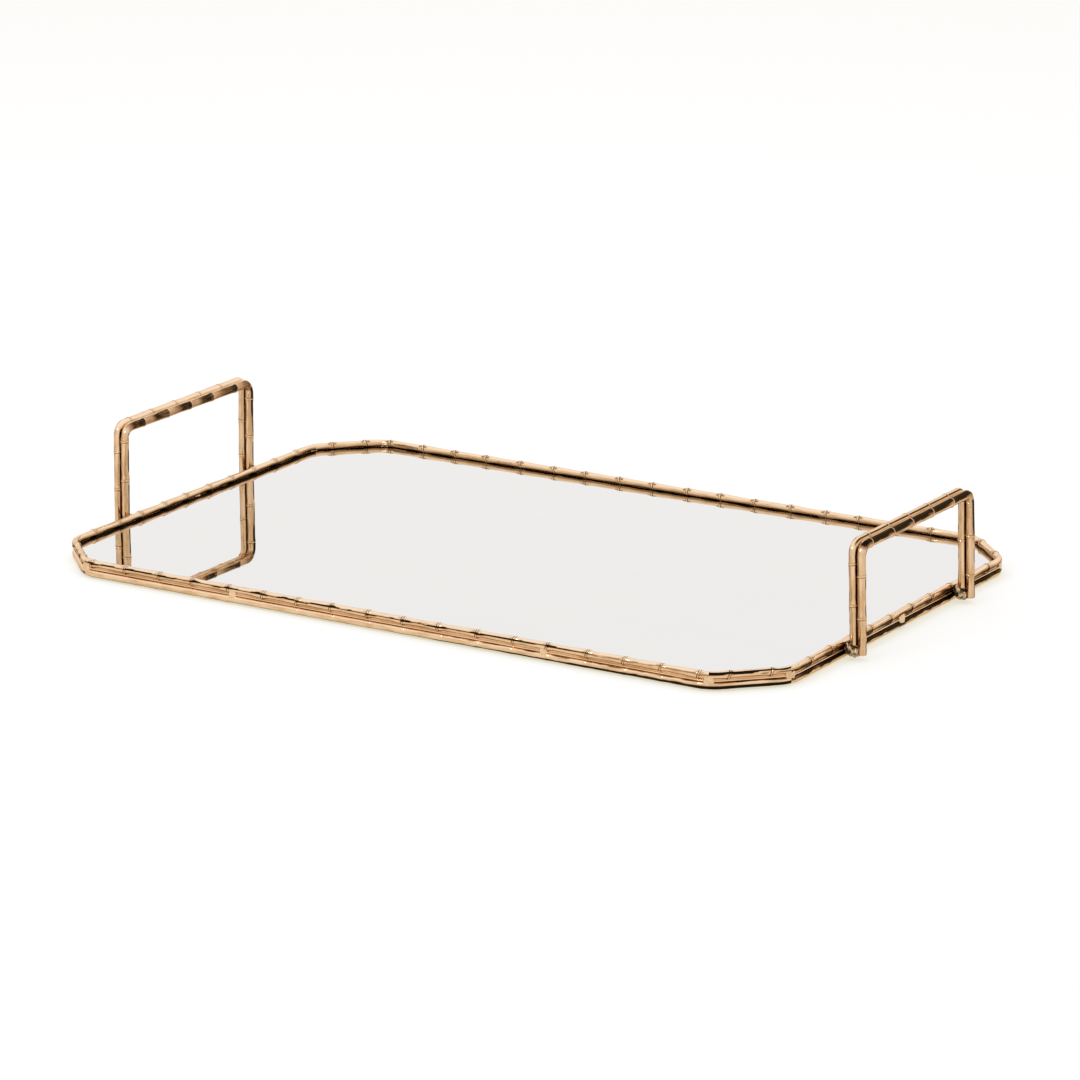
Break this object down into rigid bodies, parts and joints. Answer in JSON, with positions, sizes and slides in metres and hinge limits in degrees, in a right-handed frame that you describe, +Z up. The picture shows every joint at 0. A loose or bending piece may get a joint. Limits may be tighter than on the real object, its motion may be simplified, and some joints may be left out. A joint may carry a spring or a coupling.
{
  "type": "dresser vanity tray",
  "caption": "Rectangular mirrored vanity tray with cut corners, a double-ring frame of faux-bamboo rods and a tall double-rod hoop handle at each end.",
  "frame": {"origin": "middle of the footprint, on the surface the tray rests on", "axes": "+X along the length towards the right handle, +Y towards the back, +Z up"},
  "size_m": [0.5071, 0.3218, 0.0681],
  "materials": {
    "rod_brass": "polished antique brass with dark patina beside the bamboo nodes",
    "pan_brass": "satin sheet brass",
    "weld_metal": "rough, mottled braze metal, darkened",
    "mirror": "clear silvered glass",
    "felt": "short dark felt"
  },
  "bodies": {
    "root": {"upper_rail_front": "rod_brass", "upper_corner_fr": "rod_brass", "upper_rail_right": "rod_brass", "upper_corner_br": "rod_brass", "upper_rail_back": "rod_brass", "upper_corner_bl": "rod_brass", "upper_rail_left": "rod_brass", "upper_corner_fl": "rod_brass", "lower_rail_front": "rod_brass", "lower_corner_fr": "rod_brass", "lower_rail_right": "rod_brass", "lower_corner_br": "rod_brass", "lower_rail_back": "rod_brass", "lower_corner_bl": "rod_brass", "lower_rail_left": "rod_brass", "lower_corner_fl": "rod_brass", "mirror_pan": "pan_brass", "mirror_glass": "mirror", "felt_base": "felt", "handle_left_outer": "rod_brass", "handle_left_inner": "rod_brass", "handle_right_outer": "rod_brass", "handle_right_inner": "rod_brass", "weld_corner_fl_front": "weld_metal", "weld_corner_fr_front": "weld_metal", "weld_corner_fr_end": "weld_metal", "weld_corner_br_end": "weld_metal", "weld_corner_br_back": "weld_metal", "weld_corner_bl_back": "weld_metal", "weld_corner_bl_end": "weld_metal", "weld_corner_fl_end": "weld_metal", "weld_front_l": "weld_metal", "weld_front_r": "weld_metal", "weld_back_l": "weld_metal", "weld_back_r": "weld_metal", "weld_end_left": "weld_metal", "weld_end_right": "weld_metal", "weld_leg_left_front": "weld_metal", "weld_leg_left_back": "weld_metal", "weld_leg_right_front": "weld_metal", "weld_leg_right_back": "weld_metal"}
  },
  "joints": []
}
